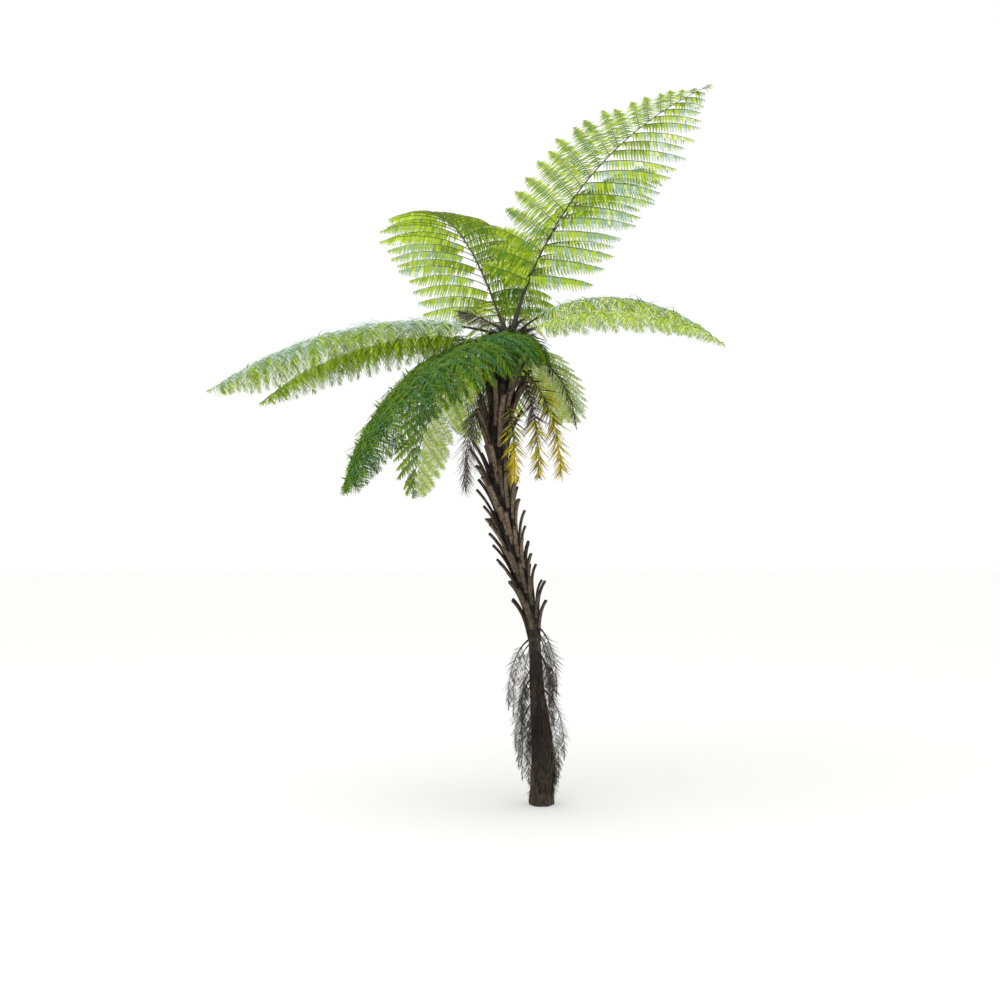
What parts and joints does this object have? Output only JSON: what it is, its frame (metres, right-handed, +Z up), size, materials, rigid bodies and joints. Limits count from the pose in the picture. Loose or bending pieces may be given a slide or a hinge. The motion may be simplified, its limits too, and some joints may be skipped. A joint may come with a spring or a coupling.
{
  "type": "tree fern",
  "caption": "Slender leaning tree fern with old leaf bases up its trunk, a crown of arching feathered fronds, and dead fronds and dark fibres hanging below it.",
  "frame": {"origin": "centre of the flat cut under the trunk, at ground level", "axes": "+Z up; +X towards the side that the two highest fronds lean to; the trunk leans to -X"},
  "size_m": [3.2221, 2.4609, 4.7485],
  "materials": {
    "trunk_fibre": "dark matted root fibre over a scarred trunk",
    "leaf_base": "dry brown cut leaf base, rough",
    "frond_bright": "bright green leaflet with light through it",
    "frond_deep": "deep green leaflet with a faint waxy bloom",
    "frond_dead": "dry grey-brown withered leaflet",
    "frond_golden": "yellowing leaflet, half withered",
    "skirt_fibre": "dark grey-brown bristly fibre"
  },
  "bodies": {
    "root": {"trunk": "trunk_fibre", "leaf_base_01": "leaf_base", "leaf_base_02": "leaf_base", "leaf_base_03": "leaf_base", "leaf_base_04": "leaf_base", "leaf_base_05": "leaf_base", "leaf_base_06": "leaf_base", "leaf_base_07": "leaf_base", "leaf_base_08": "leaf_base", "leaf_base_09": "leaf_base", "leaf_base_10": "leaf_base", "leaf_base_11": "leaf_base", "leaf_base_12": "leaf_base", "leaf_base_13": "leaf_base", "leaf_base_14": "leaf_base", "leaf_base_15": "leaf_base", "leaf_base_16": "leaf_base", "leaf_base_17": "leaf_base", "leaf_base_18": "leaf_base", "leaf_base_19": "leaf_base", "leaf_base_20": "leaf_base", "leaf_base_21": "leaf_base", "leaf_base_22": "leaf_base", "leaf_base_23": "leaf_base", "leaf_base_24": "leaf_base", "leaf_base_25": "leaf_base", "frond_high_right": "frond_bright", "frond_high_back_right": "frond_bright", "frond_high_left": "frond_bright", "frond_right_upper_inner": "frond_bright", "frond_right_upper_outer": "frond_bright", "frond_right_lower": "frond_bright", "frond_back_right_inner": "frond_bright", "frond_back_right_outer": "frond_bright", "frond_left_upper": "frond_deep", "frond_left_lower": "frond_deep", "frond_front_left_inner": "frond_deep", "frond_front_left_outer": "frond_deep", "frond_back_left_inner": "frond_deep", "frond_back_left_outer": "frond_deep", "frond_back_upper": "frond_deep", "frond_back_lower": "frond_deep", "dead_frond_left_front": "frond_dead", "dead_frond_left_back": "frond_dead", "dead_frond_right_wiry": "frond_dead", "dead_frond_high_left": "frond_dead", "dead_frond_right_olive": "frond_golden", "dead_frond_right_golden": "frond_golden", "skirt_strand_1": "skirt_fibre", "skirt_strand_2": "skirt_fibre", "skirt_strand_3": "skirt_fibre", "skirt_strand_4": "skirt_fibre", "skirt_strand_5": "skirt_fibre", "skirt_strand_6": "skirt_fibre", "skirt_strand_7": "skirt_fibre", "skirt_strand_8": "skirt_fibre"}
  },
  "joints": []
}
